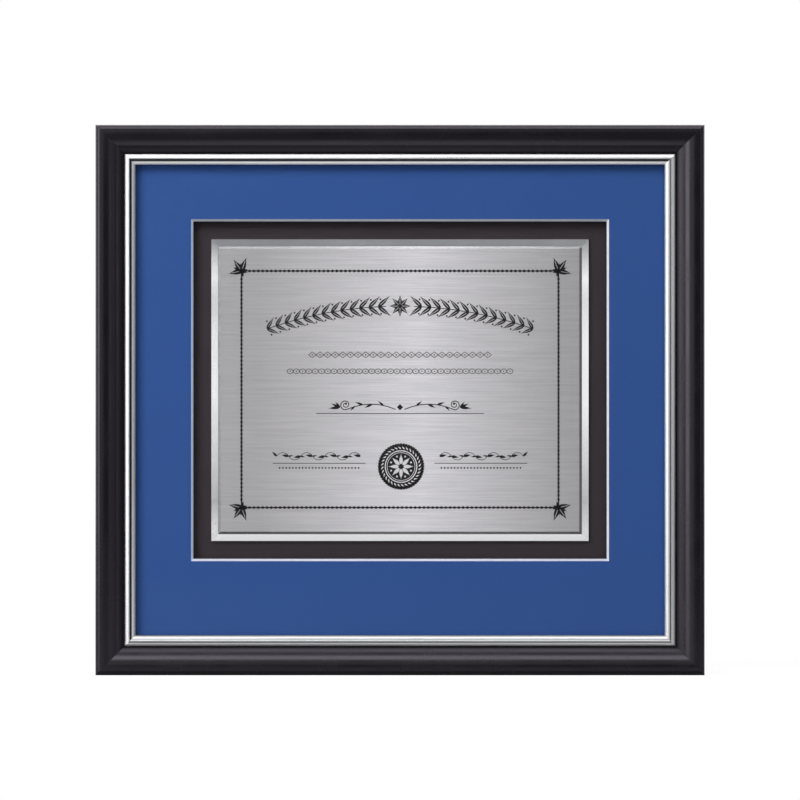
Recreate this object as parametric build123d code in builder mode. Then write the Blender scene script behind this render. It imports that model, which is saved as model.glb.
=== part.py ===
from build123d import *
import os
from math import cos, radians, sin, tan

os.makedirs("parts", exist_ok=True)

# A wall frame for a certificate plate. It stands on the ground plane, faces -Y and is centred on X and Y.
# Lengths are in mm. "Depth" is the distance forwards from the rear face of the rails.

# Outer size of the four joined rails
frame_width = 406.4
frame_height = 367.3

# Rail section, from the inner lip outwards: a flat land, a bead, a small step, a broad crown, a round edge
rail_face = 19.2
rabbet_width = 6.4
lip_thickness = 1.5
land_width = 0.9
bead_width = 4.5
bead_inner_slope = 38
bead_outer_slope = 15
step_height = 0.6
crown_inner_slope = 40
crown_outer_slope = 8
edge_radius = 3.4
rear_ease = 0.6

# Silver slip, held under the lip
slip_show = 7.3
slip_flange = 3.0
slip_clearance = 0.3
slip_rise = 1.0
slip_rim_width = 3.0
slip_rim_slope = 40
slip_bead_slope = 55
slip_crest_slope = 5
slip_groove_width = 1.0
slip_groove_slope = 41
slip_quirk = 0.15

# Sheets in the rabbet, rear to front
backing_recess = 0.3
backing_thickness = 3.0
mount_board_thickness = 1.5
spacer_thickness = 5.0
mat_thickness = 1.5
glazing_gap = 0.1
glazing_thickness = 2.0
pack_clearance = 1.0

# Window in the mat, set above the middle so that the lower border is the widest
window_width = 279.4
window_height = 228.6
window_rise = 6.6
window_bevel = 45
spacer_width = 24.0

# Plates in the window, each held by strips of tape
border_plate_width = 252.4
border_plate_height = 201.8
border_plate_thickness = 2.0
border_bevel_width = 4.5
border_bevel_drop = 1.2
border_reveal = 4.7
border_tape_thickness = 0.8
engraved_plate_thickness = 1.5
engraved_bevel_width = 1.6
engraved_bevel_drop = 1.1
engraved_tape_thickness = 0.3
tape_width = 19.0
tape_end = 15.0
tape_count = 3

# Bent steel strips driven into the rear of the mitres
nail_thickness = 0.6
nail_depth = 10.0
nail_margin = 1.7
nail_gap = 0.9

# Pan-head wood screws
shank_radius = 1.5
screw_length = 9.0
screw_tip = 2.5
head_radius = 3.2
head_rim = 0.7
head_height = 1.9
recess_length = 3.6
recess_width = 0.8
recess_depth = 1.0
pilot_clearance = 0.05

# Turn buttons that hold the backing board in
button_gap = 0.1
button_thickness = 1.0
button_radius = 5.0
button_tip_radius = 3.6
button_overlap = 10.0
button_rib_width = 3.0
button_rib_height = 0.5
button_bore_clearance = 0.08
button_head_gap = 0.1
button_spread = 105.0

# Hangers: a folded strap, a ring with a round bar, and a screw
strap_sheet = 0.8
strap_width = 6.8
strap_length = 19.5
strap_neck = 5.0
strap_screw_drop = 14.5
strap_corner = 2.4
bar_radius = 0.9
bar_clearance = 0.1
ring_half_width = 5.3
ring_leg = 4.1
ring_ease = 0.45
hanger_drop = 105.0

# Rubber pads at the lower corners
bumper_radius = 5.0
bumper_height = 4.5
bumper_rim = 0.8
bumper_inset = 26.0

# Sizes that follow
rear_width = rail_face - rabbet_width
member_width = rail_face + slip_show
spacer_depth = backing_recess + backing_thickness + mount_board_thickness
mat_depth = spacer_depth + spacer_thickness
glazing_depth = mat_depth + mat_thickness + glazing_gap
slip_depth = glazing_depth + glazing_thickness
rabbet_depth = slip_depth + slip_flange
pack_width = frame_width - 2 * rear_width - 2 * pack_clearance
pack_height = frame_height - 2 * rear_width - 2 * pack_clearance

edge_width = edge_radius * (1 - sin(radians(crown_outer_slope)))
crown_width = rail_face - land_width - bead_width - edge_width
crown_radius = crown_width / (sin(radians(crown_inner_slope)) + sin(radians(crown_outer_slope)))
bead_radius = bead_width / (sin(radians(bead_inner_slope)) - sin(radians(bead_outer_slope)))
bead_rise = bead_radius * (cos(radians(bead_outer_slope)) - cos(radians(bead_inner_slope)))
crown_rise = crown_radius * (1 - cos(radians(crown_inner_slope)))
rail_depth = rabbet_depth + lip_thickness + bead_rise + step_height + crown_rise
edge_depth = rail_depth - crown_radius * (1 - cos(radians(crown_outer_slope)))
wall_depth = edge_depth - edge_radius * cos(radians(crown_outer_slope))

slip_groove_drop = slip_groove_width * tan(radians(slip_groove_slope))
slip_bead_width = slip_show - slip_rim_width - slip_groove_width
slip_rim_radius = slip_rim_width / (sin(radians(slip_rim_slope)) - sin(radians(slip_crest_slope)))
slip_bead_radius = slip_bead_width / (sin(radians(slip_bead_slope)) - sin(radians(slip_crest_slope)))

rear_y = (rail_depth - bumper_height) / 2
middle_z = frame_height / 2
pivot_height = strap_sheet + bar_clearance + bar_radius
button_reach = rear_width / 2 + pack_clearance + button_overlap - button_tip_radius

# Each side's plane has its origin on the outer edge, x inwards, y forwards and z along the rail
top_side = Plane(origin=(0, rear_y, frame_height), x_dir=(0, 0, -1), z_dir=(-1, 0, 0))
bottom_side = Plane(origin=(0, rear_y, 0), x_dir=(0, 0, 1), z_dir=(1, 0, 0))
left_side = Plane(origin=(-frame_width / 2, rear_y, middle_z), x_dir=(1, 0, 0), z_dir=(0, 0, -1))
right_side = Plane(origin=(frame_width / 2, rear_y, middle_z), x_dir=(-1, 0, 0), z_dir=(0, 0, 1))
sides = {
    "top": (top_side, frame_width / 2),
    "bottom": (bottom_side, frame_width / 2),
    "left": (left_side, frame_height / 2),
    "right": (right_side, frame_height / 2),
}


def front_plane(depth, rise=0.0):
    """Plane facing forwards, with its origin on the frame's upright middle line."""
    return Plane(origin=(0, rear_y - depth, middle_z + rise), x_dir=(1, 0, 0), z_dir=(0, -1, 0))


def rear_seat(side, along):
    """Plane on the middle of a rail's rear face, facing backwards, with x towards the frame's inside."""
    origin = side.from_local_coords(Vector(rear_width / 2, 0, along))
    return Plane(origin=origin, x_dir=side.x_dir, z_dir=(0, 1, 0))


def save(builder, name):
    """Labels a finished piece and writes it."""
    builder.part.label = name
    export_step(builder.part, f"parts/{name}.step")


def mitre(side, half_length):
    """Cuts both ends of the open part at 45 degrees through the outer corners."""
    for end in (1, -1):
        corner = side.from_local_coords(Vector(0, 0, end * half_length))
        split(bisect_by=Plane(origin=corner, z_dir=side.x_dir + side.z_dir * end), keep=Keep.BOTTOM)


def bevelled_plate(depth, width, height, thickness, bevel_width, bevel_drop):
    """A plate with a sloping border around its front face."""
    with BuildPart() as plate:
        with BuildSketch(front_plane(depth, window_rise)):
            Rectangle(width, height)
        extrude(amount=thickness - bevel_drop)
        with BuildSketch(front_plane(depth + thickness - bevel_drop, window_rise)):
            Rectangle(width, height)
        with BuildSketch(front_plane(depth + thickness, window_rise)):
            Rectangle(width - 2 * bevel_width, height - 2 * bevel_width)
        loft()
    return plate


def tape_strips(depth, width, height, thickness):
    """Evenly spread strips of tape under a plate of this width and height."""
    pitch = (height - 2 * tape_end - tape_width) / (tape_count - 1)
    with BuildPart() as strips:
        with BuildSketch(front_plane(depth, window_rise)):
            with GridLocations(0, pitch, 1, tape_count):
                Rectangle(width - 2 * tape_end, tape_width)
        extrude(amount=thickness)
    return strips


# Where the screws and what they hold sit on the rails
button_seats = {
    "top_left_turn_button": rear_seat(top_side, button_spread),
    "top_right_turn_button": rear_seat(top_side, -button_spread),
    "bottom_left_turn_button": rear_seat(bottom_side, -button_spread),
    "bottom_right_turn_button": rear_seat(bottom_side, button_spread),
    "left_turn_button": rear_seat(left_side, 0),
    "right_turn_button": rear_seat(right_side, 0),
}
hanger_x = frame_width / 2 - rear_width / 2
hanger_z = frame_height - hanger_drop
hanger_places = {"left": -hanger_x, "right": hanger_x}
hanger_seats = [
    Plane(origin=(x, rear_y, hanger_z - strap_screw_drop), x_dir=(1, 0, 0), z_dir=(0, 1, 0))
    for x in hanger_places.values()
]
pilot_seats = list(button_seats.values()) + hanger_seats

# V-nails: each is a bent strip whose legs run along the two rails from the mitre
nail_leg = (rear_width - 2 * nail_margin - nail_gap) / 2
with BuildPart() as v_nails:
    for x_sign in (1, -1):
        for z_sign in (1, -1):
            corner = Vector(x_sign * frame_width / 2, rear_y, middle_z + z_sign * frame_height / 2)
            corner_plane = Plane(
                origin=corner, x_dir=(-x_sign, 0, 0), z_dir=(0, -x_sign * z_sign, 0)
            )
            with BuildSketch(corner_plane):
                for setback in (nail_margin, nail_margin + nail_leg + nail_gap):
                    with Locations((setback, setback)):
                        Rectangle(nail_leg, nail_thickness, align=(Align.MIN, Align.MIN))
                        Rectangle(nail_thickness, nail_leg, align=(Align.MIN, Align.MIN))
            extrude(amount=nail_depth, dir=(0, -1, 0))
save(v_nails, "v_nails")

# Rails: black moulding, mitred at the corners, with a rabbet behind the lip
for name, (side, half_length) in sides.items():
    with BuildPart() as rail:
        with BuildSketch(side):
            with BuildLine():
                wall = Line((0, rear_ease), (0, wall_depth))
                edge = JernArc(wall @ 1, wall % 1, edge_radius, crown_outer_slope - 90)
                crown = JernArc(edge @ 1, edge % 1, crown_radius, -crown_outer_slope - crown_inner_slope)
                step = Line(crown @ 1, crown @ 1 - Vector(0, step_height))
                bead_start = Vector(1, 0).rotate(Axis.Z, -bead_outer_slope)
                bead = JernArc(step @ 1, bead_start, bead_radius, bead_outer_slope - bead_inner_slope)
                Polyline(
                    bead @ 1,
                    (rail_face, rabbet_depth + lip_thickness),
                    (rail_face, rabbet_depth),
                    (rear_width, rabbet_depth),
                    (rear_width, 0),
                    (rear_ease, 0),
                    (0, rear_ease),
                )
            make_face()
        extrude(amount=half_length, both=True)
        mitre(side, half_length)
        add(v_nails.part, mode=Mode.SUBTRACT)
        with Locations(*[seat.location for seat in pilot_seats]):
            Cylinder(
                shank_radius + pilot_clearance,
                screw_length + pilot_clearance,
                align=(Align.CENTER, Align.CENTER, Align.MAX),
                mode=Mode.SUBTRACT,
            )
    save(rail, f"{name}_rail")

# Slips: silver-faced strips under the lip; an outward-facing rim slopes down to an inward-facing bead
for name, (side, half_length) in sides.items():
    with BuildPart() as slip:
        with BuildSketch(side):
            with BuildLine():
                flange = Polyline(
                    (rail_face, rabbet_depth + slip_rise),
                    (rail_face, rabbet_depth),
                    (rear_width + slip_clearance, rabbet_depth),
                    (rear_width + slip_clearance, slip_depth),
                    (member_width, slip_depth),
                )
                rim_start = Vector(1, 0).rotate(Axis.Z, slip_rim_slope)
                rim = JernArc(flange @ 0, rim_start, slip_rim_radius, slip_crest_slope - slip_rim_slope)
                groove = Polyline(
                    rim @ 1,
                    rim @ 1 + Vector(slip_groove_width, -slip_groove_drop),
                    rim @ 1 + Vector(slip_groove_width, slip_quirk - slip_groove_drop),
                )
                bead_start = Vector(1, 0).rotate(Axis.Z, -slip_crest_slope)
                bead = JernArc(groove @ 1, bead_start, slip_bead_radius, slip_crest_slope - slip_bead_slope)
                Line(bead @ 1, flange @ 1)
            make_face()
        extrude(amount=half_length, both=True)
        mitre(side, half_length)
    save(slip, f"{name}_slip")

# Glazing: a clear sheet behind the slips
with BuildPart() as glazing:
    with BuildSketch(front_plane(glazing_depth)):
        Rectangle(pack_width, pack_height)
    extrude(amount=glazing_thickness)
save(glazing, "glazing")

# Window mat: coloured board with a window cut at a slant through its pale core
with BuildPart() as window_mat:
    with BuildSketch(front_plane(mat_depth)):
        Rectangle(pack_width, pack_height)
    extrude(amount=mat_thickness)
    with BuildSketch(front_plane(mat_depth + mat_thickness, window_rise)):
        Rectangle(window_width, window_height)
    extrude(amount=-mat_thickness, taper=window_bevel, mode=Mode.SUBTRACT)
save(window_mat, "window_mat")

# Spacers: foam strips between the mat and the mount board
for name, rise in (("top", 1), ("bottom", -1)):
    with BuildPart() as spacer:
        with BuildSketch(front_plane(spacer_depth, rise * (pack_height - spacer_width) / 2)):
            Rectangle(pack_width, spacer_width)
        extrude(amount=spacer_thickness)
    save(spacer, f"{name}_spacer")
for name, shift in (("left", -1), ("right", 1)):
    with BuildPart() as spacer:
        with BuildSketch(front_plane(spacer_depth)):
            with Locations((shift * (pack_width - spacer_width) / 2, 0)):
                Rectangle(spacer_width, pack_height - 2 * spacer_width)
        extrude(amount=spacer_thickness)
    save(spacer, f"{name}_spacer")

# Mount board and backing board: plain sheets behind the spacers
with BuildPart() as mount_board:
    with BuildSketch(front_plane(backing_recess + backing_thickness)):
        Rectangle(pack_width, pack_height)
    extrude(amount=mount_board_thickness)
save(mount_board, "mount_board")

with BuildPart() as backing_board:
    with BuildSketch(front_plane(backing_recess)):
        Rectangle(pack_width, pack_height)
    extrude(amount=backing_thickness)
save(backing_board, "backing_board")

# Border plate: polished, with a wide sloping border, taped to the mount board
border_plate_tape = tape_strips(
    spacer_depth, border_plate_width, border_plate_height, border_tape_thickness
)
save(border_plate_tape, "border_plate_tape")

border_plate_depth = spacer_depth + border_tape_thickness
border_plate = bevelled_plate(
    border_plate_depth,
    border_plate_width,
    border_plate_height,
    border_plate_thickness,
    border_bevel_width,
    border_bevel_drop,
)
save(border_plate, "border_plate")

# Engraved plate: brushed, with a narrow sloping edge, taped to the border plate
engraved_plate_width = border_plate_width - 2 * border_reveal
engraved_plate_height = border_plate_height - 2 * border_reveal
engraved_tape_depth = border_plate_depth + border_plate_thickness
engraved_plate_tape = tape_strips(
    engraved_tape_depth, engraved_plate_width, engraved_plate_height, engraved_tape_thickness
)
save(engraved_plate_tape, "engraved_plate_tape")

engraved_plate = bevelled_plate(
    engraved_tape_depth + engraved_tape_thickness,
    engraved_plate_width,
    engraved_plate_height,
    engraved_plate_thickness,
    engraved_bevel_width,
    engraved_bevel_drop,
)
save(engraved_plate, "engraved_plate")

# Screw: a pan head with a crossed recess, seated at z = 0, with the shank along -Z
with BuildPart() as screw:
    with BuildSketch(Plane.XZ):
        with BuildLine():
            Polyline(
                (0, head_height),
                (0, -screw_length),
                (shank_radius, screw_tip - screw_length),
                (shank_radius, 0),
                (head_radius, 0),
                (head_radius, head_rim),
            )
            TangentArc((0, head_height), (head_radius, head_rim), tangent=(1, 0))
        make_face()
    revolve(axis=Axis.Z)
    with BuildSketch(Plane.XY.offset(head_height - recess_depth)):
        Rectangle(recess_length, recess_width)
        Rectangle(recess_width, recess_length)
    extrude(amount=recess_depth, mode=Mode.SUBTRACT)

# Turn buttons: stamped steel fingers, each turning on its screw
button_height = button_gap + button_thickness
for name, seat in button_seats.items():
    with BuildPart() as turn_button:
        with BuildSketch(seat.offset(button_gap)):
            Circle(button_radius)
            with Locations((button_reach, 0)):
                Circle(button_tip_radius)
            make_hull()
        extrude(amount=button_thickness)
        with BuildSketch(seat.offset(button_height)):
            with Locations(((button_radius + button_reach) / 2, 0)):
                SlotCenterToCenter(button_reach - button_radius, button_rib_width)
        extrude(amount=button_rib_height)
        with BuildSketch(seat):
            Circle(shank_radius + button_bore_clearance)
        extrude(amount=button_height, mode=Mode.SUBTRACT)
    save(turn_button, name)

with BuildPart() as turn_button_screws:
    with Locations(*[seat.offset(button_height + button_head_gap).location for seat in button_seats.values()]):
        add(screw.part)
save(turn_button_screws, "turn_button_screws")

# Hangers: each strap is folded around its ring's round bar and screwed to an upright rail
pivot_y = rear_y + pivot_height
for name, x in hanger_places.items():
    with BuildPart() as hanger_strap:
        with BuildSketch(Plane(origin=(x, rear_y, hanger_z), x_dir=(0, 1, 0), z_dir=(1, 0, 0))):
            with Locations((pivot_height, 0)):
                Circle(pivot_height)
            with Locations((strap_sheet, -strap_neck)):
                Rectangle(2 * strap_sheet, strap_sheet)
            make_hull()
            Rectangle(2 * strap_sheet, strap_length, align=(Align.MIN, Align.MAX))
            with Locations((pivot_height, 0)):
                Circle(bar_radius + bar_clearance, mode=Mode.SUBTRACT)
        extrude(amount=strap_width / 2, both=True)
        fillet(hanger_strap.edges().filter_by(Axis.Y).group_by(Axis.Z)[0], strap_corner)
        with Locations((x, rear_y + strap_sheet, hanger_z - strap_screw_drop)):
            Cylinder(
                shank_radius + pilot_clearance,
                2 * strap_sheet,
                rotation=(90, 0, 0),
                mode=Mode.SUBTRACT,
            )
    save(hanger_strap, f"{name}_hanger_strap")

    ring_plane = Plane(origin=(x, pivot_y, hanger_z), x_dir=(1, 0, 0), z_dir=(0, -1, 0))
    with BuildPart() as d_ring:
        with BuildSketch(ring_plane):
            with BuildLine():
                near_leg = Line((ring_half_width, -bar_radius), (ring_half_width, ring_leg))
                bow = JernArc(near_leg @ 1, near_leg % 1, ring_half_width, 180)
                Line(bow @ 1, (-ring_half_width, -bar_radius))
            trace(line_width=2 * bar_radius)
        extrude(amount=bar_radius, both=True)
        chamfer(d_ring.faces().filter_by(Axis.Y).edges(), ring_ease)
        with Locations(ring_plane.location):
            Cylinder(bar_radius, 2 * ring_half_width, rotation=(0, 90, 0))
    save(d_ring, f"{name}_d_ring")

with BuildPart() as hanger_screws:
    with Locations(*[seat.offset(2 * strap_sheet).location for seat in hanger_seats]):
        add(screw.part)
save(hanger_screws, "hanger_screws")

# Wall bumpers: rubber pads stuck to the lower rail near its ends
bumper_along = frame_width / 2 - bumper_inset
with BuildPart() as wall_bumpers:
    for along in (bumper_along, -bumper_along):
        with BuildSketch(rear_seat(bottom_side, along)):
            Circle(bumper_radius)
    extrude(amount=bumper_height)
    chamfer(wall_bumpers.edges().group_by(Axis.Y)[-1], bumper_rim)
save(wall_bumpers, "wall_bumpers")
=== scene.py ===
import math
import bpy
from mathutils import Matrix, Vector


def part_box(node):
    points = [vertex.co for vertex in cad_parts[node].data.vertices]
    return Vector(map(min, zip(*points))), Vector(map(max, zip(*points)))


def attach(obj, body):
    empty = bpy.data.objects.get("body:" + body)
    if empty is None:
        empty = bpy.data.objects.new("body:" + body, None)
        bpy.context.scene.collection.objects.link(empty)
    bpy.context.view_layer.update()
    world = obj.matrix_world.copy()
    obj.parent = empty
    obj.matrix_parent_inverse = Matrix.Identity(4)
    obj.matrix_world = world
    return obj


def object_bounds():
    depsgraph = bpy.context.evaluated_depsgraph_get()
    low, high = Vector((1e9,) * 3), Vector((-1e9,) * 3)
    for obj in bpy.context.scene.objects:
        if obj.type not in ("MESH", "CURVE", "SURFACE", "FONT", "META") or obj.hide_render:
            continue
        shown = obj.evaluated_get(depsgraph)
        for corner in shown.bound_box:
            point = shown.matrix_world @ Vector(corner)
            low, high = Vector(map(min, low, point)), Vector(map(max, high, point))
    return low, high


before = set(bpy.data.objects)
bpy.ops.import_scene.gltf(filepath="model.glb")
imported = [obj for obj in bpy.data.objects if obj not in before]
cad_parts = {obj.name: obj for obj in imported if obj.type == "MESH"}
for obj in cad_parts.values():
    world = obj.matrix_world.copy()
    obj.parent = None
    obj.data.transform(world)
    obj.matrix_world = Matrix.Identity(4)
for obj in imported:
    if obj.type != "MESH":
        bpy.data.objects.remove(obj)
cad_low, cad_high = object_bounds()


# Rails: wooden moulding sprayed with black satin lacquer, mitred and nailed at the corners.
# The lacquer follows the grain faintly; in the recess beside the slip its gloss is lowered as painted
# shade.
# The sawn rear face is left raw, with overspray along its edges.
def blank_finish(name):
    """A new material with its shader, ready for nodes: returns the material, its tree and the shader."""
    material = bpy.data.materials.new(name)
    material.use_nodes = True
    tree = material.node_tree
    return material, tree, tree.nodes["Principled BSDF"]


def placed(tree, scale):
    """The piece's own coordinates, stretched by scale."""
    where = tree.nodes.new("ShaderNodeTexCoord")
    mapping = tree.nodes.new("ShaderNodeMapping")
    mapping.inputs["Scale"].default_value = scale
    tree.links.new(where.outputs["Object"], mapping.inputs["Vector"])
    return mapping.outputs["Vector"]


def mottle(tree, scale, detail=4.0, roughness=0.55, distortion=0.0):
    """Noise from 0 to 1 with its own scale along each axis."""
    noise = tree.nodes.new("ShaderNodeTexNoise")
    noise.inputs["Scale"].default_value = 1.0
    noise.inputs["Detail"].default_value = detail
    noise.inputs["Roughness"].default_value = roughness
    noise.inputs["Distortion"].default_value = distortion
    tree.links.new(placed(tree, scale), noise.inputs["Vector"])
    return noise.outputs["Fac"]


def ramp(tree, value, stops):
    """Colours along a value: stops are (position, colour)."""
    node = tree.nodes.new("ShaderNodeValToRGB")
    elements = node.color_ramp.elements
    while len(elements) < len(stops):
        elements.new(0.5)
    for element, (position, colour) in zip(elements, stops):
        element.position = position
        element.color = (*colour, 1.0)
    tree.links.new(value, node.inputs["Fac"])
    return node.outputs["Color"]


def span(tree, value, low, high, start=0.3, end=0.7):
    """A value between start and end, spread out to run from low to high."""
    node = tree.nodes.new("ShaderNodeMapRange")
    node.inputs["From Min"].default_value = start
    node.inputs["From Max"].default_value = end
    node.inputs["To Min"].default_value = low
    node.inputs["To Max"].default_value = high
    tree.links.new(value, node.inputs["Value"])
    return node.outputs["Result"]


def mixed(tree, share, first, second, blend="MIX"):
    """Two colours mixed by a share that is a socket or a number."""
    node = tree.nodes.new("ShaderNodeMix")
    node.data_type = "RGBA"
    node.blend_type = blend
    for socket, value in ((node.inputs[0], share), (node.inputs[6], first), (node.inputs[7], second)):
        if isinstance(value, bpy.types.NodeSocket):
            tree.links.new(value, socket)
        elif isinstance(value, tuple):
            socket.default_value = (*value, 1.0)
        else:
            socket.default_value = value
    return node.outputs[2]


def worked(tree, operation, *values):
    """The result of a sum on sockets or numbers, such as MULTIPLY or MAXIMUM."""
    node = tree.nodes.new("ShaderNodeMath")
    node.operation = operation
    for socket, value in zip(node.inputs, values):
        if isinstance(value, bpy.types.NodeSocket):
            tree.links.new(value, socket)
        else:
            socket.default_value = value
    return node.outputs[0]


def facing(tree, axis, start, end):
    """From 0 to 1 as the surface turns towards an axis of the object."""
    geometry = tree.nodes.new("ShaderNodeNewGeometry")
    dot = tree.nodes.new("ShaderNodeVectorMath")
    dot.operation = "DOT_PRODUCT"
    dot.inputs[1].default_value = axis
    tree.links.new(geometry.outputs["Normal"], dot.inputs[0])
    return span(tree, dot.outputs["Value"], 0.0, 1.0, start, end)


def bumped(tree, shader, height, strength, distance):
    """Relief on the shader from a height value; distance is in metres."""
    bump = tree.nodes.new("ShaderNodeBump")
    bump.inputs["Strength"].default_value = strength
    bump.inputs["Distance"].default_value = distance
    tree.links.new(height, bump.inputs["Height"])
    tree.links.new(bump.outputs["Normal"], shader.inputs["Normal"])


def dress(node, material):
    """Gives a node of the frame its finish."""
    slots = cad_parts[node].data.materials
    slots.clear()
    slots.append(material)


def coordinate(tree, axis):
    """The piece's own coordinate along an axis, in metres."""
    parts = tree.nodes.new("ShaderNodeSeparateXYZ")
    tree.links.new(placed(tree, (1, 1, 1)), parts.inputs["Vector"])
    return parts.outputs[axis]


def off_middle(tree, axis, middle):
    """Distance from the frame's middle along an axis, in metres."""
    return worked(tree, "ABSOLUTE", worked(tree, "SUBTRACT", coordinate(tree, axis), middle))


crest_inset = 0.0146
slip_inset = 0.0183


def lacquer_finish(name, along, across, axis, middle, outside):
    """Black satin lacquer over wood whose grain has these scales; the rear face is raw.

    The outside lies this far from the middle along the axis. From the crest of the inner bead to the
    slip's edge the lacquer's gloss is lowered, as painted shade.
    """
    material, tree, shader = blank_finish(name)
    grain = mottle(tree, along, 6.0, 0.6)
    cloud = mottle(tree, (45, 45, 45), 3.0)
    black = ramp(tree, grain, [(0.3, (0.0028, 0.0022, 0.0032)), (0.7, (0.0058, 0.0047, 0.0064))])
    wood_line = mottle(tree, across, 5.0, 0.6, 0.6)
    wood_tones = [(0.3, (0.36, 0.23, 0.12)), (0.52, (0.56, 0.40, 0.24)), (0.72, (0.64, 0.48, 0.31))]
    wood = ramp(tree, wood_line, wood_tones)
    overspray = span(tree, mottle(tree, (160, 160, 160), 5.0, 0.7), 0.0, 1.0, 0.60, 0.72)
    raw = mixed(tree, overspray, wood, (0.03, 0.028, 0.026))
    rear = facing(tree, (0, 1, 0), 0.55, 0.8)
    tree.links.new(mixed(tree, rear, black, raw), shader.inputs["Base Color"])
    sheen = span(tree, cloud, 0.20, 0.30)
    dull = worked(tree, "MAXIMUM", sheen, span(tree, rear, 0.0, 0.75, 0.0, 1.0))
    tree.links.new(dull, shader.inputs["Roughness"])
    from_middle = off_middle(tree, axis, middle)
    # Painted shade: the gloss is lowered in the recess between the inner bead and the slip.
    recess_painted_shade = span(tree, from_middle, 0.16, 0.54, outside - slip_inset, outside - crest_inset)
    tree.links.new(recess_painted_shade, shader.inputs["Specular IOR Level"])
    shader.inputs["Specular Tint"].default_value = (0.93, 0.85, 1.0, 1.0)
    bumped(tree, shader, grain, 0.06, 0.00004)
    return material


middle_height = (cad_low[2] + cad_high[2]) / 2
half_height = (cad_high[2] - cad_low[2]) / 2
half_width = (cad_high[0] - cad_low[0]) / 2
lacquer_across = lacquer_finish(
    "black_lacquer_across", (14, 700, 700), (9, 260, 260), "Z", middle_height, half_height
)
lacquer_upright = lacquer_finish(
    "black_lacquer_upright", (700, 700, 14), (260, 260, 9), "X", 0.0, half_width
)
for side in ("top", "bottom"):
    dress(f"{side}_rail", lacquer_across)
for side in ("left", "right"):
    dress(f"{side}_rail", lacquer_upright)


# Slips: thin wooden strips faced with silver leaf and burnished along their length.
# They sit under the rails' lip and frame the glazing. A dark glaze is wiped into the groove by hand.
# Painted shade darkens the groove further on some sides, and darkens a band of the bright flank.
def grey(tone):
    """A neutral colour of this tone."""
    return (tone, tone, tone)


def silver_finish(name, along, axis, middle, outside, groove, flank_painted_shade):
    """Burnished silver leaf with streaks of these scales, dark glaze in its groove, and painted shade.

    The outside lies this far from the middle along the axis. In from there a groove (inset, half width,
    tone) holds the glaze, with painted shade in its tone, and painted shade darkens a flank (inset where
    it is full, inset where it has faded out, tone where it is full).
    """
    material, tree, shader = blank_finish(name)
    from_middle = off_middle(tree, axis, middle)
    groove_inset, groove_half_width, glaze_and_shade_tone = groove
    # The groove's glaze is real; its darker tone on some sides is painted shade.
    glaze_and_shade_groove = worked(tree, "COMPARE", from_middle, outside - groove_inset, groove_half_width)
    streak = mottle(tree, along, 4.0, 0.6)
    patch = mottle(tree, (35, 35, 35), 3.0)
    bright = ramp(tree, streak, [(0.3, (0.83, 0.83, 0.85)), (0.7, (0.93, 0.93, 0.94))])
    leaf = mixed(tree, span(tree, patch, 0.0, 0.5, 0.55, 0.75), bright, (0.80, 0.79, 0.77))
    # Painted shade on the flank: the leaf darkens towards one edge, by a tone given per side.
    full_shade_inset, no_shade_inset, flank_shade_tone = flank_painted_shade
    leaf_in_painted_shade = mixed(tree, 1.0, leaf, grey(flank_shade_tone), "MULTIPLY")
    flank_shade_fade = span(tree, from_middle, 0.0, 1.0, outside - full_shade_inset, outside - no_shade_inset)
    leaf = mixed(tree, flank_shade_fade, leaf_in_painted_shade, leaf)
    glaze_and_shade_hue = (0.98, 1.0, 1.03)
    thin_glaze_and_shade = tuple(1.2 * glaze_and_shade_tone * c for c in glaze_and_shade_hue)
    thick_glaze_and_shade = tuple(0.8 * glaze_and_shade_tone * c for c in glaze_and_shade_hue)
    # The groove's colour: dark glaze with painted shade.
    dark = ramp(tree, streak, [(0.3, thick_glaze_and_shade), (0.7, thin_glaze_and_shade)])
    tree.links.new(mixed(tree, glaze_and_shade_groove, leaf, dark), shader.inputs["Base Color"])
    shader.inputs["Metallic"].default_value = 1.0
    burnish = span(tree, streak, 0.24, 0.36)
    tree.links.new(mixed(tree, glaze_and_shade_groove, burnish, grey(0.35)), shader.inputs["Roughness"])
    bumped(tree, shader, streak, 0.08, 0.00004)
    return material


# Per slip: groove (inset, half width, tone), flank (full inset, faded inset, tone); tones carry painted
# shade.
glaze_and_painted_shade_per_slip = {
    "top": ((0.02345, 0.00075, 0.055), (0.01863, 0.02198, 0.42)),
    "bottom": ((0.02222, 0.00060, 0.150), (0.02672, 0.02345, 0.18)),
    "left": ((0.02340, 0.00070, 0.055), (0.01900, 0.02234, 0.42)),
    "right": ((0.02275, 0.00055, 0.120), (0.02635, 0.02300, 0.58)),
}
for side, (groove, flank_painted_shade) in glaze_and_painted_shade_per_slip.items():
    if side in ("top", "bottom"):
        run = ((12, 1500, 1500), "Z", middle_height, half_height)
    else:
        run = ((1500, 1500, 12), "X", 0.0, half_width)
    dress(f"{side}_slip", silver_finish(f"silver_leaf_with_painted_shade_{side}", *run, groove, flank_painted_shade))


# V-nails: bent strips of bare spring steel, driven flush into the rear of the mitres.
# Two of them across each corner draw the rails together.
def steel_finish(name, dark, light, low, high, spangle=900):
    """Plated steel between two colours and two roughnesses, with a fine crystal pattern."""
    material, tree, shader = blank_finish(name)
    crystal = tree.nodes.new("ShaderNodeTexVoronoi")
    crystal.inputs["Scale"].default_value = 1.0
    tree.links.new(placed(tree, (spangle, spangle, spangle)), crystal.inputs["Vector"])
    cloud = mottle(tree, (220, 220, 220), 5.0, 0.6)
    tone = ramp(tree, cloud, [(0.3, dark), (0.7, light)])
    spangled = mixed(tree, 0.18, tone, crystal.outputs["Color"], "SOFT_LIGHT")
    tree.links.new(spangled, shader.inputs["Base Color"])
    shader.inputs["Metallic"].default_value = 1.0
    tree.links.new(span(tree, cloud, low, high), shader.inputs["Roughness"])
    bumped(tree, shader, crystal.outputs["Distance"], 0.05, 0.00005)
    return material


dress("v_nails", steel_finish("nail_steel", (0.30, 0.30, 0.31), (0.46, 0.46, 0.48), 0.35, 0.55))

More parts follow.
